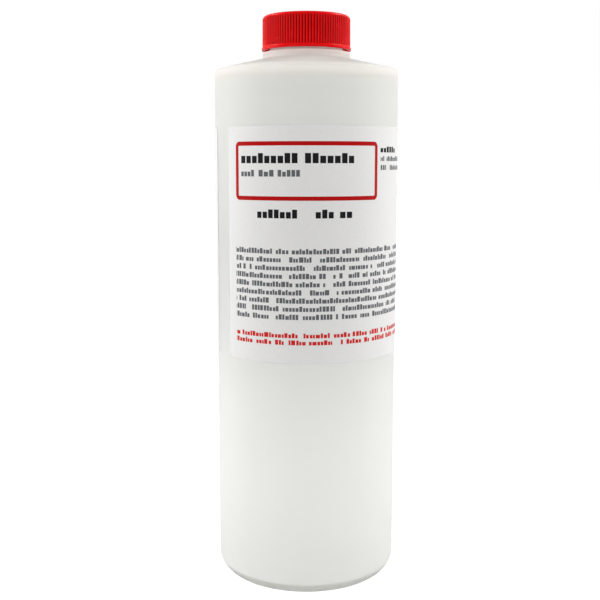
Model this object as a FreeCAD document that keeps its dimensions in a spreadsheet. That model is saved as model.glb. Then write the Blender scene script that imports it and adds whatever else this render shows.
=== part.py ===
"""Half-litre laboratory storage bottle with a ribbed screw cap, as a parametric FreeCAD document.

Millimetres. The origin is the middle of the surface that the bottle stands on, +Z is up along the
bottle's axis, and -Y is the front, where the label is read. Every size comes from the sheet.
"""
import FreeCAD, Part
import os

import Sketcher
from FreeCAD import Placement, Rotation, Vector

DOCUMENT = "storage_bottle"
SHEET = "Sizes"
OUTPUT_FOLDER = "parts"
CLOSE = 1e-4  # two lengths are the same within this
UP = Vector(0, 0, 1)
SKETCH_UP = Vector(0, 1, 0)  # a vertical sketch's own name for the bottle's axis

# Driving sizes: alias, value in millimetres or degrees, meaning.
DRIVING_SIZES = [
    ("bottle_diameter", 62.5, "outside of the straight wall"),
    ("wall_thickness", 0.95, "blown wall, shoulder and base"),
    ("base_edge_radius", 7.0, "rounded edge between the wall and the base"),
    ("base_ring_width", 2.0, "ring that the bottle stands on"),
    ("base_recess", 1.6, "rise of the base inside that ring"),
    ("base_recess_radius", 1.0, "rounded corners of the recess"),
    ("seam_length", 34.0, "pinched seam across the recess"),
    ("seam_width", 0.8, "pinched seam"),
    ("seam_height", 0.5, "pinched seam below the recess"),
    ("shoulder_height", 179.5, "level where the shoulder meets the collar"),
    ("shoulder_slope", 13.0, "fall of the shoulder cone, in degrees"),
    ("shoulder_radius", 1.6, "rounded outer edge of the shoulder"),
    ("shoulder_inside_radius", 1.2, "rounded inner edges of the shoulder"),
    ("collar_diameter", 29.8, "ring under the cap"),
    ("collar_height", 2.2, "collar above the shoulder"),
    ("collar_radius", 0.45, "rounded edges of the collar"),
    ("neck_diameter", 24.9, "neck between its thread turns"),
    ("neck_bore", 21.5, "mouth of the bottle"),
    ("finish_height", 10.0, "neck from the collar to the lip"),
    ("lip_radius", 0.4, "rounded edges of the lip"),
    ("thread_pitch", 4.2333, "six threads to the inch"),
    ("thread_fade", 0.08, "turns in which a thread sinks into its wall"),
    ("thread_rooting", 0.2, "how deep a thread's root sits in its wall"),
    ("thread_step", 0.02, "step down from a thread to its fading end"),
    ("thread_engagement", 1.7, "neck thread above the cap thread, middle to middle"),
    ("neck_thread_diameter", 27.4, "crest of the neck thread"),
    ("neck_thread_start", 2.8, "middle of the thread's lower end above the collar"),
    ("neck_thread_turns", 1.2, "turns at full depth"),
    ("neck_thread_root", 2.4, "width of the thread in the wall"),
    ("neck_thread_crest", 1.0, "width of the thread at its crest"),
    ("cap_gap", 0.7, "tight cap above the collar"),
    ("cap_height", 11.4, "whole cap"),
    ("cap_diameter", 29.9, "ribs at their lower end"),
    ("cap_draft", 0.06, "loss of the ribs' radius from bottom to top"),
    ("cap_top_thickness", 1.2, "roof of the cap"),
    ("cap_top_radius", 1.3, "rounded top edge of the cap"),
    ("cap_band_diameter", 30.4, "smooth band under the ribs"),
    ("cap_band_height", 0.9, "upright part of the band"),
    ("cap_band_slope", 0.35, "height of the slope from the band to the ribs"),
    ("cap_bore", 27.95, "inside of the skirt between its thread turns"),
    ("cap_blank_allowance", 1.2, "blank outside the band, turned off afterwards"),
    ("cap_thread_bore", 25.7, "crest of the cap thread"),
    ("cap_thread_start", 1.4, "middle of the thread's lower end above the skirt's edge"),
    ("cap_thread_turns", 1.2, "turns at full depth"),
    ("cap_thread_root", 2.0, "width of the thread in the wall"),
    ("cap_thread_crest", 0.8, "width of the thread at its crest"),
    ("rib_count", 96, "grooves round the cap, one between each two ribs"),
    ("groove_depth", 0.3, "one groove"),
    ("groove_width", 0.7, "one groove at the outside"),
    ("groove_run_out", 0.5, "how far a groove's cutter reaches outside the ribs"),
    ("groove_start", 1.15, "lower end of the grooves above the skirt's edge"),
    ("groove_rim", 0.9, "smooth rim above the grooves' upper ends"),
    ("liner_diameter", 27.2, "sealing disc"),
    ("label_bottom", 80.2, "lower edge of the label"),
    ("label_height", 76.2, "three-inch label"),
    ("label_thickness", 0.15, "paper with its adhesive"),
    ("label_wrap", 342.0, "how far the label goes round, in degrees"),
    ("label_left_edge", 54.0, "where it begins, in degrees left of the front"),
    ("liquid_level", 171.2, "surface of the contents"),
    ("liquid_clearance", 0.05, "contents to the inside of the wall"),
]

# Sizes worked out from the driving ones: alias, formula, meaning.
DERIVED_SIZES = [
    ("wall_radius", "bottle_diameter / 2", "outside of the wall"),
    ("inside_radius", "wall_radius - wall_thickness", "inside of the wall"),
    ("inside_edge_radius", "base_edge_radius - wall_thickness", "rounded inside of the base edge"),
    ("ring_radius", "wall_radius - base_edge_radius - base_ring_width", "inside of the standing ring"),
    ("recess_radius", "ring_radius - base_recess", "flat middle of the base, one to one slope"),
    ("floor_shift", "wall_thickness * tan(22.5 deg)", "outward shift of that slope on the inside"),
    ("floor_height", "base_recess + wall_thickness", "inside of the base's middle"),
    ("collar_outside", "collar_diameter / 2", "outside of the collar"),
    ("collar_top", "shoulder_height + collar_height", "top of the collar"),
    ("shoulder_edge", "shoulder_height - (wall_radius - collar_outside) * tan(shoulder_slope * 1 deg)",
     "shoulder's outer edge before it is rounded"),
    ("shoulder_depth", "wall_thickness / cos(shoulder_slope * 1 deg)", "shoulder wall, upright"),
    ("neck_radius", "neck_diameter / 2", "outside of the neck"),
    ("bore_radius", "neck_bore / 2", "inside of the neck"),
    ("inside_shoulder_edge", "shoulder_height - shoulder_depth"
     " - (inside_radius - collar_outside) * tan(shoulder_slope * 1 deg)", "inside, at the wall"),
    ("inside_shoulder_top", "shoulder_height - shoulder_depth"
     " + (collar_outside - bore_radius) * tan(shoulder_slope * 1 deg)", "inside, at the bore"),
    ("lip_height", "collar_top + finish_height", "sealing lip"),
    ("cap_bottom", "collar_top + cap_gap", "edge of the tight cap's skirt"),
    ("cap_roof", "cap_height - cap_top_thickness", "inside of the roof above the skirt's edge"),
    ("cap_radius", "cap_diameter / 2", "ribs at their lower end"),
    ("cap_band_radius", "cap_band_diameter / 2", "smooth band"),
    ("cap_band_top", "cap_band_height + cap_band_slope", "where the ribs' wall begins"),
    ("groove_length", "cap_height - groove_start - groove_rim", "one groove, upright"),
    ("cap_blank_radius", "cap_band_radius + cap_blank_allowance", "before the outside is turned"),
    ("liner_thickness", "cap_bottom + cap_roof - lip_height", "fills the space from lip to roof"),
    ("cap_phase", "360 * (cap_bottom + cap_thread_start + thread_engagement"
     " - collar_top - neck_thread_start) / thread_pitch", "turn of the cap that meshes the threads"),
]


def fill_sheet(doc):
    """Write every size into the sheet with its alias and meaning."""
    sheet = doc.addObject("Spreadsheet::Sheet", SHEET)
    for row, (alias, value, meaning) in enumerate(DRIVING_SIZES + DERIVED_SIZES, start=1):
        sheet.set(f"A{row}", alias)
        sheet.set(f"B{row}", f"={value}" if isinstance(value, str) else str(value))
        sheet.setAlias(f"B{row}", alias)
        sheet.set(f"C{row}", meaning)
    doc.recompute()


def in_sheet(formula):
    """A formula of bare aliases, as an expression that reads them from the sheet."""
    aliases = {alias for alias, _, _ in DRIVING_SIZES + DERIVED_SIZES}
    return " ".join(f"{SHEET}.{word}" if word in aliases else word for word in formula.split())


def value_of(owner, formula):
    """What a formula of bare aliases comes to now."""
    return float(owner.evalExpression(in_sheet(formula)))


def bind(owner, setting, formula):
    """Let a property of an object follow a formula of bare aliases."""
    owner.setExpression(setting, in_sheet(formula))


def new_body(doc, label):
    body = doc.addObject("PartDesign::Body", label)
    body.Label = label
    return body


def new_sketch(body, name, plane_role, rise="0", turn="0"):
    """An empty sketch on one of the body's planes, raised along the axis and turned about it."""
    sketch = body.newObject("Sketcher::SketchObject", name)
    plane = next(item for item in body.Origin.OriginFeatures if item.Role == plane_role)
    sketch.AttachmentSupport = [(plane, "")]
    sketch.MapMode = "FlatFace"
    upright = plane_role == "XZ_Plane"
    sketch.AttachmentOffset = Placement(Vector(), Rotation(SKETCH_UP if upright else UP, 0))
    bind(sketch, "AttachmentOffset.Base.y" if upright else "AttachmentOffset.Base.z", rise)
    bind(sketch, "AttachmentOffset.Rotation.Angle", turn)
    return sketch


def place(sketch, line, direction, formula):
    """Hold the start of a line at a distance from the sketch's origin along one direction."""
    start = 1
    origin = (-1, 1)
    zero_axis = -2 if direction == "DistanceX" else -1
    distance = value_of(sketch, formula)
    if abs(distance) < CLOSE:
        sketch.addConstraint(Sketcher.Constraint("PointOnObject", line, start, zero_axis))
        return
    constraint = Sketcher.Constraint(direction, *origin, line, start, distance)
    number = sketch.addConstraint(constraint)
    bind(sketch, f"Constraints[{number}]", formula)


def draw_outline(sketch, corners):
    """A closed outline of straight lines whose corners are pairs of formulas."""
    points = [Vector(value_of(sketch, across), value_of(sketch, along), 0) for across, along in corners]
    lines = []
    for start, end in zip(points, points[1:] + points[:1]):
        lines.append(sketch.addGeometry(Part.LineSegment(start, end), False))
    for line, next_line in zip(lines, lines[1:] + lines[:1]):
        sketch.addConstraint(Sketcher.Constraint("Coincident", line, 2, next_line, 1))
    for line, (across, along) in zip(lines, corners):
        place(sketch, line, "DistanceX", across)
        place(sketch, line, "DistanceY", along)


def revolve(body, name, corners, kind="PartDesign::Revolution", angle="360"):
    """Turn an upright half-section about the body's axis, adding or removing material."""
    sketch = new_sketch(body, f"{name}_section", "XZ_Plane")
    draw_outline(sketch, corners)
    feature = body.newObject(kind, name)
    feature.Profile = sketch
    feature.ReferenceAxis = (sketch, ["V_Axis"])
    bind(feature, "Angle", angle)
    body.Document.recompute()
    return feature


def ring_edges(feature, rings):
    """Names of the circular edges about the axis at the given radii and heights."""
    wanted = [(value_of(feature, radius), value_of(feature, height)) for radius, height in rings]
    names = []
    for number, edge in enumerate(feature.Shape.Edges, start=1):
        if not isinstance(edge.Curve, Part.Circle):
            continue
        found = (edge.Curve.Radius, edge.Curve.Center.z)
        if any(abs(found[0] - r) < CLOSE and abs(found[1] - z) < CLOSE for r, z in wanted):
            names.append(f"Edge{number}")
    if len(names) != len(rings):
        raise RuntimeError(f"{feature.Label}: {len(names)} edges found of {len(rings)}")
    return names


def round_rings(body, name, radius, rings):
    """Round circular edges of the body's tip."""
    base = body.Tip
    fillet = body.newObject("PartDesign::Fillet", name)
    fillet.Base = (base, ring_edges(base, rings))
    bind(fillet, "Radius", radius)
    body.Document.recompute()
    return fillet


def sweep_helix(body, name, corners, rise, mode, settings, down=False):
    """Sweep a section along a right-hand helix, from the place that its rise leads to."""
    sketch = new_sketch(body, f"{name}_section", "XZ_Plane", rise, f"360 * ( {rise} ) / thread_pitch")
    draw_outline(sketch, corners)
    body.Document.recompute()
    helix = body.newObject("PartDesign::AdditiveHelix", name)
    helix.Profile = sketch
    helix.ReferenceAxis = (sketch, ["V_Axis"])
    helix.Mode = mode
    helix.Reversed = down
    for setting, formula in settings.items():
        bind(helix, setting, formula)
    body.Document.recompute()


def thread_section(middle, root, crest, root_width, crest_width):
    """The four corners of a thread's trapezoid section."""
    return [
        (root, f"{middle} - ( {root_width} ) / 2"),
        (crest, f"{middle} - ( {crest_width} ) / 2"),
        (crest, f"{middle} + ( {crest_width} ) / 2"),
        (root, f"{middle} + ( {root_width} ) / 2"),
    ]


def add_thread(body, name, middle, wall, crest, outward):
    """A thread on a wall, with two ends that sink into the wall.

    Outward is + for a thread round a neck and - for one inside a cap. The widths and turns are
    the sheet's own for that name.
    """
    inward = "-" if outward == "+" else "+"
    root_width, crest_width, turns = (f"{name}_{part}" for part in ("root", "crest", "turns"))
    root = f"{wall} {inward} thread_rooting"
    full = thread_section(middle, root, crest, root_width, crest_width)
    sweep_helix(body, name, full, "0", "pitch-turns-angle",
                {"Pitch": "thread_pitch", "Turns": turns})
    stepped = thread_section(middle, root, f"{crest} {inward} thread_step",
                             f"{root_width} - 2 * thread_step", f"{crest_width} - 2 * thread_step")
    fading = {
        "Height": "thread_pitch * thread_fade",
        "Turns": "thread_fade",
        "Growth": f"( {wall} - {crest} ) / thread_fade",
    }
    sweep_helix(body, f"{name}_lower_end", stepped, "thread_pitch * thread_step",
                "height-turns-growth", fading, down=True)
    sweep_helix(body, f"{name}_upper_end", stepped, f"thread_pitch * ( {turns} - thread_step )",
                "height-turns-growth", fading)


def inside_floor(clearance):
    """The base's inner surface from the axis to the wall, moved inward by a clearance."""
    return [
        ("0", f"floor_height + {clearance}"),
        ("recess_radius + floor_shift", f"floor_height + {clearance}"),
        ("ring_radius + floor_shift", f"wall_thickness + {clearance}"),
        (f"inside_radius - {clearance}", f"wall_thickness + {clearance}"),
    ]


def make_bottle(doc):
    """The blown shell: recessed base, straight wall, cone shoulder, collar and threaded neck."""
    body = new_body(doc, "bottle")
    inside = inside_floor("0")
    revolve(body, "shell", [
        ("0", "base_recess"),
        ("recess_radius", "base_recess"),
        ("ring_radius", "0"),
        ("wall_radius", "0"),
        ("wall_radius", "shoulder_edge"),
        ("collar_outside", "shoulder_height"),
        ("collar_outside", "collar_top"),
        ("neck_radius", "collar_top"),
        ("neck_radius", "lip_height"),
        ("bore_radius", "lip_height"),
        ("bore_radius", "inside_shoulder_top"),
        ("inside_radius", "inside_shoulder_edge"),
    ] + inside[::-1])
    round_rings(body, "base_edge", "base_edge_radius", [("wall_radius", "0")])
    round_rings(body, "inside_base_edge", "inside_edge_radius", inside[-1:])
    round_rings(body, "recess_corners", "base_recess_radius", [
        ("ring_radius", "0"), ("recess_radius", "base_recess")] + inside[1:3])
    round_rings(body, "shoulder_rounding", "shoulder_radius", [("wall_radius", "shoulder_edge")])
    round_rings(body, "inside_shoulder", "shoulder_inside_radius", [
        ("inside_radius", "inside_shoulder_edge"), ("bore_radius", "inside_shoulder_top")])
    round_rings(body, "collar_rounding", "collar_radius", [
        ("collar_outside", "shoulder_height"), ("collar_outside", "collar_top")])
    round_rings(body, "lip_rounding", "lip_radius", [
        ("neck_radius", "lip_height"), ("bore_radius", "lip_height")])
    add_pinched_seam(body)
    add_thread(body, "neck_thread", "collar_top + neck_thread_start", "neck_radius",
               "neck_thread_diameter / 2", "+")
    return body


def add_pinched_seam(body):
    """The ridge that the closed mould leaves across the recessed base."""
    sketch = new_sketch(body, "seam_outline", "XY_Plane", rise="base_recess - seam_height")
    draw_outline(sketch, [
        ("- seam_length / 2", "- seam_width / 2"),
        ("seam_length / 2", "- seam_width / 2"),
        ("seam_length / 2", "seam_width / 2"),
        ("- seam_length / 2", "seam_width / 2"),
    ])
    seam = body.newObject("PartDesign::Pad", "pinched_seam")
    seam.Profile = sketch
    bind(seam, "Length", "seam_height + wall_thickness / 2")
    body.Document.recompute()


def make_cap(doc):
    """The screw cap, in a frame of its own that has the skirt's bottom edge at zero."""
    body = new_body(doc, "cap")
    revolve(body, "blank", [
        ("0", "cap_roof"),
        ("cap_bore / 2", "cap_roof"),
        ("cap_bore / 2", "0"),
        ("cap_blank_radius", "0"),
        ("cap_blank_radius", "cap_height"),
        ("0", "cap_height"),
    ])
    add_thread(body, "cap_thread", "cap_thread_start", "cap_bore / 2", "cap_thread_bore / 2", "-")
    revolve(body, "turned_outside", [
        ("cap_band_radius", "0"),
        ("cap_band_radius", "cap_band_height"),
        ("cap_radius", "cap_band_top"),
        ("cap_radius - cap_draft", "cap_height"),
        ("cap_blank_radius + cap_draft", "cap_height"),
        ("cap_blank_radius + cap_draft", "0"),
    ], kind="PartDesign::Groove")
    round_rings(body, "top_edge", "cap_top_radius", [("cap_radius - cap_draft", "cap_height")])
    cut_grooves(body)
    bind(body, "Placement.Base.z", "cap_bottom")
    bind(body, "Placement.Rotation.Angle", "cap_phase")
    return body


def cut_grooves(body):
    """Cut one groove beside the ribs and repeat it round the cap."""
    half_width = "groove_width / 2 * ( groove_depth + groove_run_out ) / groove_depth"
    sketch = new_sketch(body, "groove_section", "XY_Plane", rise="groove_start")
    draw_outline(sketch, [
        ("cap_radius - groove_depth", "0"),
        ("cap_radius + groove_run_out", f"- {half_width}"),
        ("cap_radius + groove_run_out", half_width),
    ])
    groove = body.newObject("PartDesign::Pocket", "groove")
    groove.Profile = sketch
    groove.Reversed = True
    bind(groove, "Length", "groove_length")
    body.Document.recompute()
    grooves = body.newObject("PartDesign::PolarPattern", "grooves")
    grooves.Originals = [groove]
    grooves.Axis = (sketch, ["N_Axis"])
    grooves.Angle = 360
    bind(grooves, "Occurrences", "rib_count")
    body.Tip = grooves
    body.Document.recompute()


def make_cap_liner(doc):
    """The sealing disc between the lip and the cap's roof."""
    body = new_body(doc, "cap_liner")
    revolve(body, "disc", [
        ("0", "0"),
        ("liner_diameter / 2", "0"),
        ("liner_diameter / 2", "liner_thickness"),
        ("0", "liner_thickness"),
    ])
    bind(body, "Placement.Base.z", "lip_height")
    return body


def make_label(doc):
    """The paper label, wrapped from its left edge past the front and round the back."""
    body = new_body(doc, "label")
    revolve(body, "paper", [
        ("wall_radius", "label_bottom"),
        ("wall_radius + label_thickness", "label_bottom"),
        ("wall_radius + label_thickness", "label_bottom + label_height"),
        ("wall_radius", "label_bottom + label_height"),
    ], angle="label_wrap")
    bind(body, "Placement.Rotation.Angle", "270 - label_left_edge")
    return body


def make_liquid_fill(doc):
    """The contents, from the inside of the base up to a level surface."""
    body = new_body(doc, "liquid_fill")
    floor = inside_floor("liquid_clearance")
    revolve(body, "liquid", floor + [
        ("inside_radius - liquid_clearance", "liquid_level"),
        ("0", "liquid_level"),
    ])
    round_rings(body, "liquid_base_edge", "inside_edge_radius - liquid_clearance", floor[-1:])
    round_rings(body, "liquid_recess", "base_recess_radius", floor[1:3])
    return body


def check(doc, bodies):
    """Stop before anything is written if an object failed or a feature had no effect."""
    cuts = ("PartDesign::Groove", "PartDesign::Pocket")
    additions = ("PartDesign::AdditiveHelix", "PartDesign::Pad")
    for item in doc.Objects:
        if "Invalid" in item.State or "Error" in item.State:
            raise RuntimeError(f"{item.Label} is {item.State}")
        if item.TypeId in cuts + additions:
            change = item.Shape.Volume - item.BaseFeature.Shape.Volume
            if (item.TypeId in cuts) == (change > -CLOSE):
                raise RuntimeError(f"{item.Label} changes the volume by {change:.5f} mm3")
    for body in bodies:
        if body.Shape.isNull() or not body.Shape.isValid() or len(body.Shape.Solids) != 1:
            raise RuntimeError(f"{body.Label} isn't one valid solid")


def write(bodies):
    """Write each sub-part to a file named after its node."""
    os.makedirs(OUTPUT_FOLDER, exist_ok=True)
    for body in bodies:
        body.Shape.exportStep(os.path.join(OUTPUT_FOLDER, f"{body.Label}.step"))
        print(f"{body.Label}: {body.Shape.Volume / 1000:.3f} cm3, {body.Shape.BoundBox}")


def main():
    doc = FreeCAD.newDocument(DOCUMENT)
    fill_sheet(doc)
    makers = [make_bottle, make_cap, make_cap_liner, make_label, make_liquid_fill]
    bodies = [maker(doc) for maker in makers]
    doc.recompute()
    check(doc, bodies)
    write(bodies)


main()
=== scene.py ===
"""Looks of a half-litre laboratory storage bottle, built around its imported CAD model.

Metres, in the CAD model's frame: +Z is up along the bottle's axis and -Y is the front of the label.
Each CAD solid is stood for by a finer mesh of the same shape, with a procedural material.
"""

import math

import bpy
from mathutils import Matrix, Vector, noise


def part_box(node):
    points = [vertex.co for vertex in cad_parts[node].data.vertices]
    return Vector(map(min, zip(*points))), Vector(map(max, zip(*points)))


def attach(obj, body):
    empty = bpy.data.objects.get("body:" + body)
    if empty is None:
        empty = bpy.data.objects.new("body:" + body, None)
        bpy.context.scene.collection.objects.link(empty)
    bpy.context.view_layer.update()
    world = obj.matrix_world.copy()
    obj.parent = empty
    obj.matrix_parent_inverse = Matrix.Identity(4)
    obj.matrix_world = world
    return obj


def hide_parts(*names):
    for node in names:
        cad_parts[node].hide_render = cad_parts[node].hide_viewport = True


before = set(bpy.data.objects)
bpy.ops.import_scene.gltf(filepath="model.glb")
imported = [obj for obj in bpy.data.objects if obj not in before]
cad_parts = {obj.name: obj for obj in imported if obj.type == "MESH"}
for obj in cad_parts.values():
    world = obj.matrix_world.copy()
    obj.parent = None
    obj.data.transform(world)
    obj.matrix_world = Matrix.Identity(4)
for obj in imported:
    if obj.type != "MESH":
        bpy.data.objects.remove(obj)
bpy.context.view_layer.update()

MM = 0.001
TURN = 2 * math.pi
CLOSE = 1e-7  # two lengths are the same within this

# What the imported CAD model's parts say.
_, bottle_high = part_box("bottle")
cap_low, cap_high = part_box("cap")
liner_low, liner_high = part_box("cap_liner")
label_low, label_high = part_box("label")
_, liquid_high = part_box("liquid_fill")
WALL_RADIUS = bottle_high.x
LIP_HEIGHT = bottle_high.z
LABEL_RADIUS = label_high.x
LIQUID_LEVEL = liquid_high.z

# The bottle's shape, as its CAD source has it.
WALL_THICKNESS = 0.95 * MM
BASE_EDGE = 7 * MM
STANDING_RING = 2 * MM
BASE_RECESS = 1.6 * MM
RECESS_EDGE = 1 * MM
PINCH_LENGTH = 34 * MM
PINCH_WIDTH = 0.8 * MM
PINCH_HEIGHT = 0.5 * MM
SHOULDER_SLOPE = math.radians(13)
SHOULDER_EDGE = 1.6 * MM
SHOULDER_INSIDE_EDGE = 1.2 * MM
COLLAR_RADIUS = 14.9 * MM
COLLAR_HEIGHT = 2.2 * MM
COLLAR_EDGE = 0.45 * MM
NECK_RADIUS = 12.45 * MM
NECK_ROOT_EDGE = 0.3 * MM
BORE_RADIUS = 10.75 * MM
FINISH_HEIGHT = 10 * MM
LIP_EDGE = 0.4 * MM
COLLAR_TOP = LIP_HEIGHT - FINISH_HEIGHT
SHOULDER_TOP = COLLAR_TOP - COLLAR_HEIGHT
SHOULDER_FALL = math.tan(SHOULDER_SLOPE)
INSIDE_RADIUS = WALL_RADIUS - WALL_THICKNESS
RING_RADIUS = WALL_RADIUS - BASE_EDGE - STANDING_RING

# Both threads: pitch, the ends in which they sink into their wall, and the root's depth in it.
PITCH = 4.2333 * MM
THREAD_FADE = 0.08
THREAD_ROOTING = 0.2 * MM
THREAD_TURNS = 1.2
NECK_THREAD = {
    "start": COLLAR_TOP + 2.8 * MM,
    "rise": 1.25 * MM,
    "root": 2.4 * MM,
    "crest": 1.0 * MM,
}
CAP_THREAD = {
    "start": cap_low.z + 1.4 * MM,
    "rise": 1.125 * MM,
    "root": 2.0 * MM,
    "crest": 0.8 * MM,
}
THREAD_ENGAGEMENT = 1.7 * MM
CAP_PHASE = TURN * (CAP_THREAD["start"] + THREAD_ENGAGEMENT - NECK_THREAD["start"]) / PITCH

# The cap.
RIB_COUNT = 96
COLUMNS_PER_RIB = 8
CAP_RADIUS = 14.95 * MM
CAP_DRAFT = 0.06 * MM
CAP_ROOF = liner_high.z
CAP_BORE = 13.975 * MM
CAP_TOP_EDGE = 1.3 * MM
CAP_SKIRT_EDGE = 0.12 * MM
BAND_RADIUS = 15.2 * MM
BAND_HEIGHT = 0.9 * MM
BAND_SLOPE = 0.35 * MM
GROOVE_DEPTH = 0.3 * MM
GROOVE_WIDTH = 0.7 * MM
GROOVE_START = 1.1 * MM
GROOVE_END_SLOPE = 0.12 * MM
GROOVE_RUN_OUT = 0.5 * MM
RIM_HEIGHT = 0.75 * MM

# The label: arcs are measured from the front, towards the right.
LABEL_FACE_CLEARANCE = 0.005 * MM
LABEL_START = math.radians(-54)
LABEL_WRAP = math.radians(342)
LABEL_CORNER = 1.0 * MM

# How a blown wall differs from a true cylinder: shallow dents, and the mould's parting line, which
# is at +X and -X.
DENT_DEPTH = 0.05 * MM
DENT_LENGTH = 28 * MM
PARTING_RISE = 0.03 * MM
PARTING_WIDTH = 0.25 * MM

# The share of the light on a surface that goes through it.
BOTTLE_LIGHT_PASSED = 0.6
CAP_LIGHT_PASSED = 0.2
PAPER_LIGHT_PASSED = 0.25

# Fineness of the meshes, and the angle past which an edge between two faces is sharp.
ARC_STEP = math.radians(10)
HOLDING_RUN = 0.25 * MM
BODY_COLUMNS = 240
SHARP_ANGLE = math.radians(40)

# The width over which a printed or tinted area fades out at its edges.
SOFT_EDGE = 0.06 * MM

# The blocks that stand for text, each in a cell of its own: the share of the cell's width that a
# block fills, how high a short one is beside a tall one, and how often a block is short or, in
# running text, left out.
BLOCK_WIDTH = 0.8
SHORT_HEIGHT = 0.73
SHORT_CHANCE = 0.62
GAP_CHANCE = 0.15


def divide_run(start, end, spacing):
    """Points inside a straight run, evenly spread, with one close to each end to keep it flat."""
    run = (end - start).length
    if run <= spacing:
        return []
    pieces = math.ceil(run / spacing)
    shares = [step / pieces for step in range(1, pieces)]
    if run / pieces > 3 * HOLDING_RUN:
        shares = [HOLDING_RUN / run] + shares + [1 - HOLDING_RUN / run]
    return [start.lerp(end, share) for share in shares]


def round_corner(before, corner, after, rounding):
    """Points of the arc that rounds a corner between two straight runs."""
    if rounding == 0:
        return [corner]
    back = (before - corner).normalized()
    ahead = (after - corner).normalized()
    half = back.angle(ahead) / 2
    centre = corner + (back + ahead).normalized() * rounding / math.sin(half)
    first = corner + back * rounding / math.tan(half) - centre
    last = corner + ahead * rounding / math.tan(half) - centre
    sweep = math.pi - 2 * half
    pieces = max(2, math.ceil(sweep / ARC_STEP))
    points = []
    for step in range(pieces + 1):
        share = step / pieces
        offset = first * math.sin((1 - share) * sweep) + last * math.sin(share * sweep)
        points.append(centre + offset / math.sin(sweep))
    return points


def outline(corners):
    """Points of an outline from (radius, height, rounding, spacing of the run that follows)."""
    places = [Vector((radius, height)) for radius, height, _, _ in corners]
    stretches = []
    for number, (_, _, rounding, _) in enumerate(corners):
        before = places[max(number - 1, 0)]
        after = places[min(number + 1, len(places) - 1)]
        stretches.append(round_corner(before, places[number], after, rounding))
    points = list(stretches[0])
    for stretch, corner in zip(stretches[1:], corners):
        points += divide_run(points[-1], stretch[0], corner[3])
        points += stretch
    return points


def finish_mesh(name, vertices, faces):
    """An object shaded smooth but for its sharp edges, from faces that look outwards."""
    mesh = bpy.data.meshes.new(name)
    mesh.from_pydata(vertices, [], faces)
    mesh.validate()
    mesh.shade_smooth()
    mesh.set_sharp_from_angle(angle=SHARP_ANGLE)
    piece = bpy.data.objects.new(name, mesh)
    bpy.context.scene.collection.objects.link(piece)
    return piece


def lathe(name, points, angles, shape=None):
    """A closed surface turned from an outline that runs anticlockwise from the axis to the axis.

    shape, if given, takes an angle, a radius and a height and returns the radius there.
    """
    vertices = [(0, 0, points[0].y)]
    for radius, height in points[1:-1]:
        for angle in angles:
            reach = shape(angle, radius, height) if shape else radius
            vertices.append((reach * math.cos(angle), reach * math.sin(angle), height))
    vertices.append((0, 0, points[-1].y))
    count = len(angles)
    last_pole = len(vertices) - 1
    last_ring = last_pole - count
    faces = []
    for column in range(count):
        following = (column + 1) % count
        faces.append((0, 1 + following, 1 + column))
        for ring in range(1, last_ring, count):
            faces.append((ring + column, ring + following,
                          ring + count + following, ring + count + column))
        faces.append((last_ring + column, last_ring + following, last_pole))
    return finish_mesh(name, vertices, faces)


def even_angles(count, start=0.0):
    return [start + TURN * step / count for step in range(count)]


def clamp(value, low=0.0, high=1.0):
    return max(low, min(high, value))


def thread_rise(thread, angle, height):
    """How far a thread stands off its wall at an angle, from its start, and a height."""
    steepness = (thread["rise"] + THREAD_ROOTING) / ((thread["root"] - thread["crest"]) / 2)
    highest = 0.0
    for turn in range(-1, 3):
        run = angle / TURN + turn
        offset = abs(height - thread["start"] - PITCH * run)
        rise = min(thread["rise"], (thread["root"] / 2 - offset) * steepness - THREAD_ROOTING)
        to_end = min(run, THREAD_TURNS - run)
        rise -= thread["rise"] * clamp(-to_end / THREAD_FADE)
        highest = max(highest, rise)
    share = clamp(highest / thread["rise"])
    return thread["rise"] * share * share * (3 - 2 * share)


def bottle_shape(angle, radius, height):
    """Radius of the bottle with its neck thread, shallow dents and parting line."""
    if abs(radius - NECK_RADIUS) < CLOSE:
        return radius + thread_rise(NECK_THREAD, angle % TURN, height)
    if abs(radius - WALL_RADIUS) > CLOSE:
        return radius
    place = Vector((radius * math.cos(angle), radius * math.sin(angle), height / 2))
    dent = DENT_DEPTH * (0.5 + 0.5 * noise.noise(place / DENT_LENGTH))
    off_line = radius * min(abs(math.sin(angle)), 1.0) / PARTING_WIDTH
    return radius - dent + PARTING_RISE * max(0.0, 1 - off_line ** 2)


def inside_floor(lift):
    """Corners of the base's inner surface, from the wall to the axis, moved inwards."""
    shift = WALL_THICKNESS * math.tan(math.radians(22.5))
    low = WALL_THICKNESS + lift
    high = BASE_RECESS + WALL_THICKNESS + lift
    coarse = 6 * MM
    return [
        (INSIDE_RADIUS - lift, low, BASE_EDGE - WALL_THICKNESS - lift, coarse),
        (RING_RADIUS + shift, low, RECESS_EDGE, coarse),
        (RING_RADIUS - BASE_RECESS + shift, high, RECESS_EDGE, coarse),
        (0, high, 0, coarse),
    ]


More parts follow.
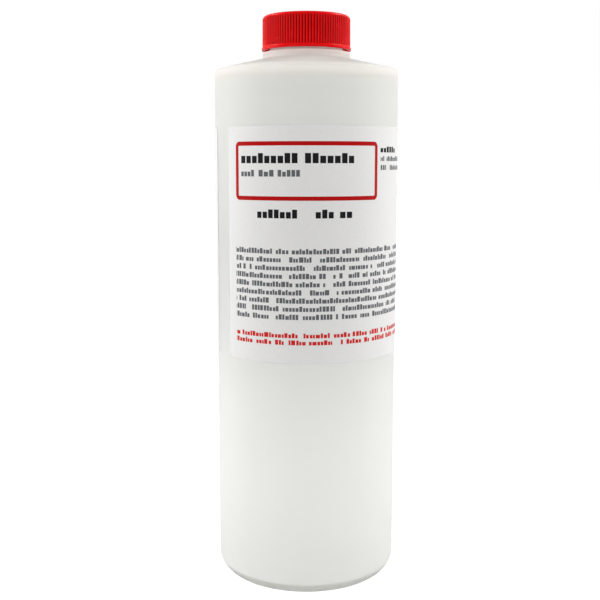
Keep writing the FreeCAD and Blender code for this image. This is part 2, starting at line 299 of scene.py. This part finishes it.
def make_bottle():
    """The blown shell with its recessed base, cone shoulder, collar and threaded neck."""
    roof = SHOULDER_TOP - WALL_THICKNESS / math.cos(SHOULDER_SLOPE)
    roof_at_bore = roof + (COLLAR_RADIUS - BORE_RADIUS) * SHOULDER_FALL
    roof_at_wall = roof - (INSIDE_RADIUS - COLLAR_RADIUS) * SHOULDER_FALL
    shoulder_start = SHOULDER_TOP - (WALL_RADIUS - COLLAR_RADIUS) * SHOULDER_FALL
    fine, middle, coarse = 0.12 * MM, 2 * MM, 6 * MM
    corners = [
        (0, BASE_RECESS, 0, middle),
        (RING_RADIUS - BASE_RECESS, BASE_RECESS, RECESS_EDGE, middle),
        (RING_RADIUS, 0, RECESS_EDGE, middle),
        (WALL_RADIUS, 0, BASE_EDGE, middle),
        (WALL_RADIUS, shoulder_start, SHOULDER_EDGE, middle),
        (COLLAR_RADIUS, SHOULDER_TOP, COLLAR_EDGE, middle),
        (COLLAR_RADIUS, COLLAR_TOP, COLLAR_EDGE, middle),
        (NECK_RADIUS, COLLAR_TOP, NECK_ROOT_EDGE, fine),
        (NECK_RADIUS, LIP_HEIGHT, LIP_EDGE, middle),
        (BORE_RADIUS, LIP_HEIGHT, LIP_EDGE, middle),
        (BORE_RADIUS, roof_at_bore, SHOULDER_INSIDE_EDGE, middle),
        (INSIDE_RADIUS, roof_at_wall, SHOULDER_INSIDE_EDGE, coarse),
    ]
    near_line = [PARTING_WIDTH / WALL_RADIUS * share for share in (-1, -0.6, -0.3, 0.3, 0.6, 1)]
    beside = [side + offset for side in (0, math.pi) for offset in near_line]
    angles = sorted(even_angles(BODY_COLUMNS) + [angle % TURN for angle in beside])
    bottle = lathe("bottle_shell", outline(corners + inside_floor(0)), angles, bottle_shape)
    weld_pinched_seam(bottle)
    return bottle


def weld_pinched_seam(bottle):
    """Add the ridge that the closed mould leaves across the recessed base."""
    half_length = PINCH_LENGTH / 2
    half_width = PINCH_WIDTH / 2
    low = BASE_RECESS - PINCH_HEIGHT
    high = BASE_RECESS + WALL_THICKNESS / 2
    section = [(-half_width, high), (-half_width, low + half_width / 2), (-half_width / 2, low),
               (half_width / 2, low), (half_width, low + half_width / 2), (half_width, high)]
    count = len(section)
    vertices = [(end * half_length, across, up) for end in (-1, 1) for across, up in section]
    faces = [(side, (side + 1) % count, (side + 1) % count + count, side + count)
             for side in range(count)]
    faces += [tuple(reversed(range(count))), tuple(range(count, 2 * count))]
    ridge = finish_mesh("pinched_seam", vertices, faces)
    join = bottle.modifiers.new("pinched_seam", "BOOLEAN")
    join.operation = "UNION"
    join.solver = "EXACT"
    join.object = ridge
    apply_modifiers(bottle)
    bpy.data.objects.remove(ridge)


def apply_modifiers(piece):
    """Replace a piece's mesh by what its modifiers make of it."""
    graph = bpy.context.evaluated_depsgraph_get()
    made = bpy.data.meshes.new_from_object(piece.evaluated_get(graph), depsgraph=graph)
    piece.modifiers.clear()
    piece.data = made


def cap_shape(angle, radius, height):
    """Radius of the cap with its ribs outside and its thread inside."""
    if abs(radius - CAP_BORE) < CLOSE:
        return radius - thread_rise(CAP_THREAD, (angle - CAP_PHASE) % TURN, height)
    pitch = TURN / RIB_COUNT
    from_groove = abs((angle - CAP_PHASE + pitch / 2) % pitch - pitch / 2) * CAP_RADIUS
    across = clamp(2 * from_groove / GROOVE_WIDTH)
    draft = CAP_DRAFT * (height - cap_low.z) / (cap_high.z - cap_low.z)
    bottom = CAP_RADIUS - draft - GROOVE_DEPTH * (1 + math.cos(math.pi * across)) / 2
    reached = clamp((height - cap_low.z - GROOVE_START) / GROOVE_END_SLOPE)
    reached *= clamp((cap_high.z - RIM_HEIGHT - height) / GROOVE_RUN_OUT)
    return radius - reached * max(0.0, radius - bottom)


def make_cap():
    """The ribbed screw cap, closed at the top and threaded inside."""
    fine, rows, middle = 0.06 * MM, 0.5 * MM, 2 * MM
    bottom = cap_low.z
    corners = [
        (0, CAP_ROOF, 0, middle),
        (CAP_BORE, CAP_ROOF, 0.3 * MM, 0.25 * MM),
        (CAP_BORE, bottom, CAP_SKIRT_EDGE, middle),
        (BAND_RADIUS, bottom, CAP_SKIRT_EDGE, middle),
        (BAND_RADIUS, bottom + BAND_HEIGHT, 0.2 * MM, fine),
        (CAP_RADIUS, bottom + BAND_HEIGHT + BAND_SLOPE, 0, rows),
        (CAP_RADIUS - CAP_DRAFT, cap_high.z, CAP_TOP_EDGE, middle),
        (0, cap_high.z, 0, middle),
    ]
    angles = even_angles(RIB_COUNT * COLUMNS_PER_RIB, CAP_PHASE)
    return lathe("screw_cap", outline(corners), angles, cap_shape)


def make_liner():
    """The foam disc between the lip and the cap's roof."""
    edge = 0.15 * MM
    reach = liner_high.x
    corners = [
        (0, liner_low.z, 0, 2 * MM),
        (reach, liner_low.z, edge, 2 * MM),
        (reach, liner_high.z, edge, 2 * MM),
        (0, liner_high.z, 0, 2 * MM),
    ]
    return lathe("sealing_liner", outline(corners), even_angles(128))


def make_contents():
    """The liquid, whose surface climbs a little where it meets the wall."""
    clearance = INSIDE_RADIUS - liquid_high.x
    reach = liquid_high.x
    climb = 1.3 * MM
    lean = 0.25 * MM
    meniscus = 1.2 * MM
    floor = inside_floor(clearance)
    corners = floor[::-1] + [
        (reach, LIQUID_LEVEL + climb, 0, 2 * MM),
        (reach - lean, LIQUID_LEVEL, meniscus, 2 * MM),
        (0, LIQUID_LEVEL, 0, 2 * MM),
    ]
    return lathe("clear_contents", outline(corners), even_angles(BODY_COLUMNS))


def label_levels(low, high):
    """Heights of the label's rows of points, close together in its rounded corners."""
    rows = 24
    straight = high - low - 2 * LABEL_CORNER
    rises = [LABEL_CORNER * (1 - math.cos(math.radians(step))) for step in (0, 20, 40, 60, 80)]
    levels = [low + rise for rise in rises]
    levels += [low + LABEL_CORNER + straight * row / rows for row in range(rows + 1)]
    return levels + [high - rise for rise in reversed(rises)]


def sheet_faces(columns, rows):
    """Faces of a thin sheet: its front, its back, and the edge that closes it all the way round."""
    width = columns + 1
    layer = width * (rows + 1)
    faces = []
    for row in range(rows):
        for column in range(columns):
            corner = row * width + column
            faces.append((corner, corner + 1, corner + width + 1, corner + width))
            back = corner + layer
            faces.append((back, back + width, back + width + 1, back + 1))
    rim = list(range(width))
    rim += [row * width + columns for row in range(1, rows + 1)]
    rim += [layer - 1 - step for step in range(1, width)]
    rim += [row * width for row in range(rows - 1, 0, -1)]
    for here, ahead in zip(rim, rim[1:] + rim[:1]):
        faces.append((ahead, here, here + layer, ahead + layer))
    return faces


def make_label():
    """The paper label: a thin wrapped sheet with rounded corners, its two ends a little apart."""
    low, high = label_low.z, label_high.z
    columns = 220
    levels = label_levels(low, high)
    vertices = []
    for radius in (LABEL_RADIUS, WALL_RADIUS + LABEL_FACE_CLEARANCE):
        for height in levels:
            into_corner = LABEL_CORNER - min(height - low, high - height, LABEL_CORNER)
            inset = (LABEL_CORNER - math.sqrt(LABEL_CORNER ** 2 - into_corner ** 2)) / LABEL_RADIUS
            for column in range(columns + 1):
                share = column / columns
                angle = LABEL_START + inset + (LABEL_WRAP - 2 * inset) * share
                vertices.append((radius * math.sin(angle), -radius * math.cos(angle), height))
    return finish_mesh("paper_label", vertices, sheet_faces(columns, len(levels) - 1))


class NodeTree:
    """Short ways to add nodes to a tree and join them."""

    def __init__(self, tree):
        self.tree = tree

    def feed(self, socket, value):
        """Join another node's output to a socket, or set the socket's own value."""
        if isinstance(value, bpy.types.NodeSocket):
            self.tree.links.new(value, socket)
        else:
            socket.default_value = value

    def node(self, kind, inputs, output=0, **settings):
        """Add a node; inputs are by name or number. Returns one of its outputs."""
        made = self.tree.nodes.new(kind)
        for name, value in settings.items():
            setattr(made, name, value)
        for name, value in inputs.items():
            self.feed(made.inputs[name], value)
        return made.outputs[output]

    def math(self, operation, *values):
        return self.node("ShaderNodeMath", dict(enumerate(values)), operation=operation)

    def hypotenuse(self, first, second):
        """The distance that two distances at right angles make."""
        squares = [self.math("MULTIPLY", side, side) for side in (first, second)]
        return self.math("SQRT", self.math("ADD", *squares))

    def blend(self, share, first, second):
        """A colour between two others, which a Mix node takes as its inputs 6 and 7."""
        inputs = {0: share, 6: first, 7: second}
        return self.node("ShaderNodeMix", inputs, output=2, data_type="RGBA")

    def ramp(self, value, low, high, to_low=0.0, to_high=1.0):
        """A smooth change from one number to another while a value goes from low to high."""
        inputs = {"Value": value, "From Min": low, "From Max": high}
        inputs.update({"To Min": to_low, "To Max": to_high})
        return self.node("ShaderNodeMapRange", inputs, interpolation_type="SMOOTHSTEP")

    def place(self):
        """The point's place in the row frame, and its three coordinates."""
        point = self.node("ShaderNodeTexCoord", {}, output="Object")
        made = self.tree.nodes.new("ShaderNodeSeparateXYZ")
        self.feed(made.inputs[0], point)
        return point, made.outputs[0], made.outputs[1], made.outputs[2]

    def grain(self, point, size, detail=2.0, stretch=(1, 1, 1)):
        """Soft noise whose lumps are about one size, which may be drawn out along an axis."""
        scale = [share / size for share in stretch]
        scaled = self.node("ShaderNodeVectorMath", {0: point, 1: scale}, operation="MULTIPLY")
        return self.node("ShaderNodeTexNoise", {"Vector": scaled, "Scale": 1.0, "Detail": detail})

    def bump(self, height, distance, below=None):
        """Surface relief from a height, on top of another relief if there is one."""
        inputs = {"Height": height, "Distance": distance, "Strength": 1.0}
        if below is not None:
            inputs["Normal"] = below
        return self.node("ShaderNodeBump", inputs)

    def seen_directly(self, seen, otherwise):
        """One value where the camera looks straight at it, another for the light it casts.

        A Mix node takes them as its inputs 3 and 2.
        """
        direct = self.node("ShaderNodeLightPath", {}, output="Is Camera Ray")
        return self.node("ShaderNodeMix", {0: direct, 2: otherwise, 3: seen})


class Recipe(NodeTree):
    """A material with one shader, which may let some light through besides."""

    def __init__(self, name):
        self.material = bpy.data.materials.new(name)
        self.material.use_nodes = True
        super().__init__(self.material.node_tree)
        self.shader = self.tree.nodes["Principled BSDF"]

    def set(self, **values):
        """Set or join the shader's sockets, whose names are written with underscores."""
        for name, value in values.items():
            self.feed(self.shader.inputs[name.replace("_", " ")], value)

    def pass_light(self, colour, share):
        """Let a share of the light go through the surface, scattered and coloured on its way."""
        passed = self.node("ShaderNodeBsdfTranslucent", {"Color": colour})
        inputs = {0: share, 1: self.shader.outputs[0], 2: passed}
        surface = self.node("ShaderNodeMixShader", inputs)
        self.feed(self.tree.nodes["Material Output"].inputs["Surface"], surface)


def inner_face(recipe, east, north, height):
    """1 on the faces that look into the bottle, 0 on those that look out."""
    radius = recipe.hypotenuse(east, north)
    half = WALL_THICKNESS / 2
    cone_tip = SHOULDER_TOP + COLLAR_RADIUS * SHOULDER_FALL - half
    roof = recipe.math("MULTIPLY_ADD", radius, -SHOULDER_FALL, cone_tip)
    into_ring = recipe.math("MAXIMUM", recipe.math("SUBTRACT", RING_RADIUS, radius), 0.0)
    floor = recipe.math("ADD", recipe.math("MINIMUM", into_ring, BASE_RECESS), half)
    chamber = both(
        recipe,
        recipe.math("LESS_THAN", radius, WALL_RADIUS - half),
        recipe.math("LESS_THAN", height, roof),
        recipe.math("GREATER_THAN", height, floor),
    )
    bore = both(
        recipe,
        recipe.math("LESS_THAN", radius, BORE_RADIUS + half),
        recipe.math("GREATER_THAN", height, SHOULDER_TOP - WALL_THICKNESS),
    )
    return either(recipe, chamber, bore)


def make_polyethylene():
    """Natural polyethylene: milky, waxy, letting some of the light through.

    Painted shade dulls it above the liquid, and painted light from the red cap turns it rosier.
    """
    recipe = Recipe("natural_polyethylene")
    point, east, north, height = recipe.place()
    # Painted shade and light: duller and warmer above the liquid, brighter where liquid lies behind
    # the wall.
    shaded_headspace, shaded_headspace_glow = (0.85, 0.835, 0.805, 1), (0.998, 0.985, 0.965, 1)
    liquid_lit, liquid_lit_glow = (0.98, 0.985, 0.955, 1), (0.993, 0.995, 0.98, 1)
    # Painted light: pink from the red cap's light.
    cap_light_pink, cap_light_pink_glow = (0.99, 0.90, 0.86, 1), (0.998, 0.965, 0.945, 1)
    mottle = (0.90, 0.91, 0.88, 1)
    waterline = (0.99, 0.985, 0.92, 1)
    # 1 below the liquid's level, where the wall takes the brighter painted tone.
    below_liquid = recipe.ramp(height, LIQUID_LEVEL + 1.5 * MM, LIQUID_LEVEL - 0.5 * MM)
    # How much painted pink cap light the wall takes, growing towards the collar.
    cap_light_share = recipe.ramp(height, SHOULDER_TOP - 3 * MM, COLLAR_TOP)
    drawn = recipe.grain(point, 5 * MM, stretch=(1, 1, 0.08))
    cloudy = recipe.grain(point, 14 * MM, detail=4.0)
    mottled = recipe.math("MULTIPLY", recipe.math("ADD", drawn, cloudy), 0.06)
    off_line = recipe.math("SUBTRACT", height, LIQUID_LEVEL + 0.7 * MM)
    on_line = recipe.ramp(recipe.math("ABSOLUTE", off_line), 0.7 * MM, 0.1 * MM, 0.0, 0.5)
    tone = recipe.blend(cap_light_share, recipe.blend(below_liquid, shaded_headspace, liquid_lit), cap_light_pink)
    tone = recipe.blend(mottled, tone, mottle)
    tone = recipe.blend(on_line, tone, waterline)
    pebbles = recipe.bump(recipe.grain(point, 0.5 * MM), 0.012 * MM)
    relief = recipe.bump(drawn, 0.05 * MM, below=pebbles)
    recipe.set(Base_Color=tone, Normal=relief, IOR=1.51, Specular_IOR_Level=0.15,
               Roughness=recipe.ramp(cloudy, 0.3, 0.7, 0.34, 0.44),
               Transmission_Weight=recipe.ramp(cloudy, 0.3, 0.7, 0.03, 0.05))
    glow = recipe.blend(cap_light_share, recipe.blend(below_liquid, shaded_headspace_glow, liquid_lit_glow), cap_light_pink_glow)
    inside = inner_face(recipe, east, north, height)
    recipe.pass_light(glow, recipe.ramp(inside, 0.0, 1.0, BOTTLE_LIGHT_PASSED, 1.0))
    return recipe.material


def make_polypropylene():
    """Red injection-moulded polypropylene, satin, with shade painted on its roof and in its grooves.
    """
    recipe = Recipe("red_polypropylene")
    point, east, north, height = recipe.place()
    red, light_red = (0.68, 0.001, 0.002, 1), (0.76, 0.002, 0.004, 1)
    groove_shade_red, roof_shade_red = (0.14, 0.001, 0.001, 1), (0.48, 0.001, 0.002, 1)
    radius = recipe.hypotenuse(east, north)
    grooves_end = cap_high.z - RIM_HEIGHT - GROOVE_RUN_OUT / 2
    # Painted shade in the grooves: the deeper a point lies in a groove of the ribbed band, the
    # darker red it is.
    ribbed = band(recipe, height, cap_low.z + GROOVE_START, grooves_end)
    outside = recipe.math("GREATER_THAN", radius, CAP_RADIUS - 2 * GROOVE_DEPTH)
    sunk = recipe.ramp(radius, CAP_RADIUS - CAP_DRAFT, CAP_RADIUS - GROOVE_DEPTH)
    # Painted shade: the roof is painted a darker red than the rest of the cap.
    roof = recipe.ramp(height, cap_high.z - CAP_TOP_EDGE / 3, cap_high.z)
    cloudy = recipe.grain(point, 6 * MM, detail=3.0)
    satin = recipe.grain(point, 0.12 * MM)
    tone = recipe.blend(recipe.ramp(cloudy, 0.35, 0.65), red, light_red)
    tone = recipe.blend(both(recipe, ribbed, outside, sunk), tone, groove_shade_red)
    tone = recipe.blend(roof, tone, roof_shade_red)
    recipe.set(Base_Color=tone, Normal=recipe.bump(satin, 0.002 * MM), IOR=1.49,
               Specular_IOR_Level=0.06, Roughness=recipe.ramp(cloudy, 0.3, 0.7, 0.22, 0.28))
    recipe.pass_light((0.95, 0.03, 0.03, 1), CAP_LIGHT_PASSED)
    return recipe.material


def make_foam():
    """White closed-cell foam with fine cells."""
    recipe = Recipe("foam_liner")
    point = recipe.place()[0]
    cell_size = 0.35 * MM
    centre, edge = (0.86, 0.86, 0.84, 1), (0.78, 0.78, 0.76, 1)
    cells = recipe.node("ShaderNodeTexVoronoi", {"Vector": point, "Scale": 1 / cell_size})
    tone = recipe.blend(recipe.ramp(cells, 0.0, 0.8), centre, edge)
    recipe.set(Base_Color=tone, Normal=recipe.bump(cells, 0.03 * MM), Roughness=0.7,
               Subsurface_Weight=0.3, Subsurface_Scale=0.5 * MM)
    return recipe.material


def make_clear_liquid():
    """A clear alcohol, with the faintest ripple on its surface."""
    recipe = Recipe("clear_liquid")
    point = recipe.place()[0]
    ripple = recipe.grain(point, 12 * MM)
    tone = recipe.blend(ripple, (0.985, 0.99, 0.985, 1), (1.0, 1.0, 1.0, 1))
    recipe.set(Base_Color=tone, Normal=recipe.bump(ripple, 0.02 * MM), Roughness=0.0,
               IOR=1.377, Transmission_Weight=1.0)
    return recipe.material


def band(recipe, value, low, high):
    """1 where a value lies between two limits, with soft edges."""
    middle = (low + high) / 2
    off_middle = recipe.math("ABSOLUTE", recipe.math("SUBTRACT", value, middle))
    half = (high - low) / 2
    return recipe.ramp(off_middle, half + SOFT_EDGE / 2, half - SOFT_EDGE / 2)


def both(recipe, *masks):
    """1 where every mask is 1."""
    product = masks[0]
    for mask in masks[1:]:
        product = recipe.math("MULTIPLY", product, mask)
    return product


def either(recipe, *masks):
    """1 where any mask is 1."""
    highest = masks[0]
    for mask in masks[1:]:
        highest = recipe.math("MAXIMUM", highest, mask)
    return highest


def round_frame(recipe, across, up, left, right, low, high, stroke, rounding):
    """The outline of a rectangle with rounded corners."""
    past = []
    for value, start, end in ((across, left, right), (up, low, high)):
        off_middle = recipe.math("ABSOLUTE", recipe.math("SUBTRACT", value, (start + end) / 2))
        reach = (end - start) / 2 - rounding
        past.append(recipe.math("MAXIMUM", recipe.math("SUBTRACT", off_middle, reach), 0.0))
    return band(recipe, recipe.hypotenuse(*past), rounding - stroke, rounding)


def stray(recipe, across, row, letter, seed):
    """How many cells running text strays from even spacing, which differs from line to line."""
    lump = letter / 0.6
    line_step = 5.3
    farthest = 1.2
    place = recipe.node("ShaderNodeCombineXYZ", {
        0: recipe.math("MULTIPLY", across, 1 / lump),
        1: recipe.math("MULTIPLY", row, line_step),
        2: seed,
    })
    lumps = recipe.node("ShaderNodeTexNoise", {"Vector": place, "Scale": 1.0, "Detail": 0.0})
    return recipe.math("MULTIPLY", lumps, farthest)


def dummy_text(recipe, across, up, left, right, baseline, lines, pitch, letter, tall, seed, running):
    """Lines of letter-sized blocks, standing for text without being any.

    baseline is the last line's; tall is the height of a capital, and blocks vary below it. Running
    text is broken into words, with blocks of uneven width.
    """
    from_top = recipe.math("SUBTRACT", baseline + tall + pitch * (lines - 1), up)
    row = recipe.math("FLOOR", recipe.math("DIVIDE", from_top, pitch))
    above = recipe.math("SUBTRACT", tall, recipe.math("MODULO", from_top, pitch))
    counted = recipe.math("DIVIDE", recipe.math("SUBTRACT", across, left), letter)
    if running:
        counted = recipe.math("ADD", counted, stray(recipe, across, row, letter, seed))
    column = recipe.math("FLOOR", counted)
    cell = recipe.node("ShaderNodeCombineXYZ", {0: column, 1: row, 2: seed})
    chance = recipe.node("ShaderNodeTexWhiteNoise", {"Vector": cell}, output="Value")
    noisy_colour = recipe.node("ShaderNodeTexWhiteNoise", {"Vector": cell}, output="Color")
    second_chance = recipe.node("ShaderNodeSeparateColor", {0: noisy_colour}, output="Green")
    is_tall = recipe.math("GREATER_THAN", second_chance, SHORT_CHANCE)
    top = recipe.math("MULTIPLY_ADD", is_tall, (1 - SHORT_HEIGHT) * tall, SHORT_HEIGHT * tall)
    off_middle_row = recipe.math("ABSOLUTE", recipe.math("SUBTRACT", row, (lines - 1) / 2))
    return both(
        recipe,
        recipe.math("GREATER_THAN", chance, GAP_CHANCE if running else 0.0),
        recipe.math("LESS_THAN", above, top),
        recipe.math("GREATER_THAN", above, 0.0),
        recipe.math("LESS_THAN", recipe.math("FRACT", counted), BLOCK_WIDTH),
        recipe.math("LESS_THAN", off_middle_row, lines / 2),
        recipe.math("GREATER_THAN", across, left),
        recipe.math("LESS_THAN", across, right),
    )


def label_print(recipe, across, up):
    """Where the label is printed: its frame, notes, small blocks and large blocks."""
    low = label_low.z

    def word(left, count, baseline, letter, tall, seed):
        """One word of blocks, in millimetres from the front and from the label's lower edge."""
        return dummy_text(recipe, across, up, left * MM, (left + count * letter) * MM,
                          low + baseline * MM, 1, 2 * tall * MM, letter * MM, tall * MM, seed, False)

    def lines(left, right, baseline, count, pitch, letter, tall, seed):
        """Running lines of blocks, placed likewise; the baseline is the lowest line's."""
        return dummy_text(recipe, across, up, left * MM, right * MM, low + baseline * MM,
                          count, pitch * MM, letter * MM, tall * MM, seed, True)

    title = either(
        recipe,
        word(-23.0, 9, 64.4, 2.3, 3.2, 1.0),
        word(-0.4, 7, 64.4, 2.4, 3.2, 2.0),
        word(-16.5, 7, 47.0, 2.0, 2.8, 3.0),
        word(3.0, 3, 47.0, 2.1, 2.8, 4.0),
        word(11.0, 2, 47.0, 2.4, 2.8, 5.0),
        word(27.6, 6, 67.9, 1.9, 1.9, 6.0),
    )
    small = either(
        recipe,
        word(-23.0, 4, 60.2, 1.4, 2.1, 7.0),
        word(-15.9, 3, 60.2, 1.9, 2.1, 8.0),
        word(-9.2, 5, 60.2, 1.5, 2.1, 9.0),
        lines(27.6, 66.0, 62.2, 2, 2.9, 1.1, 1.6, 10.0),
        lines(-25.8, 66.0, 14.4, 9, 2.65, 1.1, 1.7, 11.0),
    )
    notes = lines(-25.8, 60.0, 6.1, 2, 2.3, 1.15, 1.6, 12.0)
    edging = round_frame(recipe, across, up, -25.6 * MM, 26.0 * MM, low + 52.6 * MM, low + 71.3 * MM,
                         1.35 * MM, 1.7 * MM)
    return edging, notes, small, title


def make_paper():
    """White coated paper printed with a frame and with blocks that stand for its text."""
    recipe = Recipe("label_paper")
    point, east, north, up = recipe.place()
    turn = recipe.math("ARCTAN2", east, recipe.math("MULTIPLY", north, -1.0))
    inks = label_print(recipe, recipe.math("MULTIPLY", turn, LABEL_RADIUS), up)
    white, warm_white = (0.715, 0.71, 0.705, 1), (0.74, 0.735, 0.73, 1)
    frame_red, note_red = (0.42, 0.004, 0.005, 1), (0.55, 0.02, 0.015, 1)
    grey, black = (0.12, 0.125, 0.13, 1), (0.012, 0.012, 0.013, 1)
    fibres = recipe.grain(point, 0.4 * MM, detail=3.0, stretch=(1, 1, 0.5))
    paper = recipe.blend(recipe.ramp(fibres, 0.3, 0.7), white, warm_white)
    for ink, colour in zip(inks, (frame_red, note_red, grey, black)):
        paper = recipe.blend(ink, paper, colour)
    printed = either(recipe, *inks)
    recipe.set(Base_Color=paper, Normal=recipe.bump(fibres, 0.008 * MM), IOR=1.46,
               Specular_IOR_Level=0.05, Roughness=recipe.ramp(printed, 0.0, 1.0, 0.55, 0.4))
    halfway = (LABEL_RADIUS + WALL_RADIUS) / 2
    glued = recipe.math("LESS_THAN", recipe.hypotenuse(east, north), halfway)
    recipe.pass_light(recipe.blend(glued, paper, (1, 1, 1, 1)),
                      recipe.ramp(glued, 0.0, 1.0, PAPER_LIGHT_PASSED, 1.0))
    return recipe.material


def make_floor_paint():
    """The pale top of a light table, which glows, and is white where it is seen directly."""
    recipe = Recipe("studio_floor")
    point = recipe.place()[0]
    uneven = recipe.grain(point, 200 * MM)
    tone = recipe.blend(uneven, (0.49, 0.49, 0.49, 1), (0.51, 0.51, 0.51, 1))
    recipe.set(Base_Color=tone, Roughness=0.8, Specular_IOR_Level=0.1,
               Emission_Color=(1, 1, 1, 1), Emission_Strength=recipe.seen_directly(1.0, 0.18))
    return recipe.material


def dress(piece, material, body, node):
    """Give a piece its material and the body it moves with, and hide the CAD node it stands for."""
    piece.data.materials.clear()
    piece.data.materials.append(material)
    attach(piece, body)
    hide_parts(node)


def make_floor():
    """A wide pale floor under the object."""
    reach = 4.0
    sunk = -0.02 * MM
    corners = [(-reach, -reach, sunk), (reach, -reach, sunk),
               (reach, reach, sunk), (-reach, reach, sunk)]
    floor = finish_mesh("studio_floor", corners, [(0, 1, 2, 3)])
    floor.data.materials.append(make_floor_paint())


def make_softbox(name, place, width, power):
    """A square white lamp that looks at the middle of the bottle."""
    lamp = bpy.data.lights.new(name, "AREA")
    lamp.size = width
    lamp.energy = power
    holder = bpy.data.objects.new(name, lamp)
    holder.location = place
    target = Vector((0, 0, 0.1))
    holder.rotation_euler = (target - Vector(place)).to_track_quat("-Z", "Y").to_euler()
    bpy.context.scene.collection.objects.link(holder)


def make_surround(front, beside, behind, overhead):
    """White studio walls of uneven brightness, and plain white where they are seen directly."""
    world = bpy.data.worlds.new("studio")
    bpy.context.scene.world = world
    world.use_nodes = True
    walls = NodeTree(world.node_tree)
    parts = walls.tree.nodes.new("ShaderNodeSeparateXYZ")
    walls.feed(parts.inputs[0], walls.node("ShaderNodeTexCoord", {}, output="Generated"))
    _, north, up = parts.outputs
    to_front = walls.ramp(north, -0.2, -0.7, beside, front)
    to_back = walls.ramp(north, 0.3, 0.8, 0.0, behind - beside)
    level = walls.math("ADD", to_front, to_back)
    high = walls.ramp(up, 0.15, 0.65)
    low_share = walls.math("MULTIPLY", level, walls.math("SUBTRACT", 1.0, high))
    total = walls.math("MULTIPLY_ADD", high, overhead, low_share)
    background = world.node_tree.nodes["Background"]
    background.inputs["Color"].default_value = (1, 1, 1, 1)
    walls.feed(background.inputs["Strength"], walls.seen_directly(1.0, total))


def make_camera():
    """The camera, in front of the bottle, above its middle and looking slightly down."""
    distance = 346.7 * MM
    height = 145 * MM
    dip = math.radians(7.92)
    turn = math.radians(0.358)
    lens = bpy.data.cameras.new("camera")
    lens.lens = 59.54
    lens.clip_start = 10 * MM
    camera = bpy.data.objects.new("camera", lens)
    camera.location = (0, -distance, height)
    camera.rotation_euler = (math.radians(90) - dip, 0, turn)
    bpy.context.scene.collection.objects.link(camera)
    bpy.context.scene.camera = camera


dress(make_bottle(), make_polyethylene(), "vessel", "bottle")
dress(make_label(), make_paper(), "vessel", "label")
dress(make_contents(), make_clear_liquid(), "vessel", "liquid_fill")
dress(make_liner(), make_foam(), "seal", "cap_liner")
dress(make_cap(), make_polypropylene(), "closure", "cap")

make_floor()
make_surround(front=1.75, beside=0.0, behind=1.2, overhead=0.82)
make_softbox("left_softbox", place=(-0.41, 0.24, 0.62), width=0.10, power=1.6)
make_softbox("right_softbox", place=(0.41, 0.22, 0.62), width=0.10, power=1.95)
make_softbox("left_panel", place=(-0.60, 0.05, 0.25), width=0.5, power=2.9)
make_softbox("right_panel", place=(0.60, 0.05, 0.25), width=0.5, power=2.35)
make_camera()
bpy.context.scene.view_settings.view_transform = "Standard"
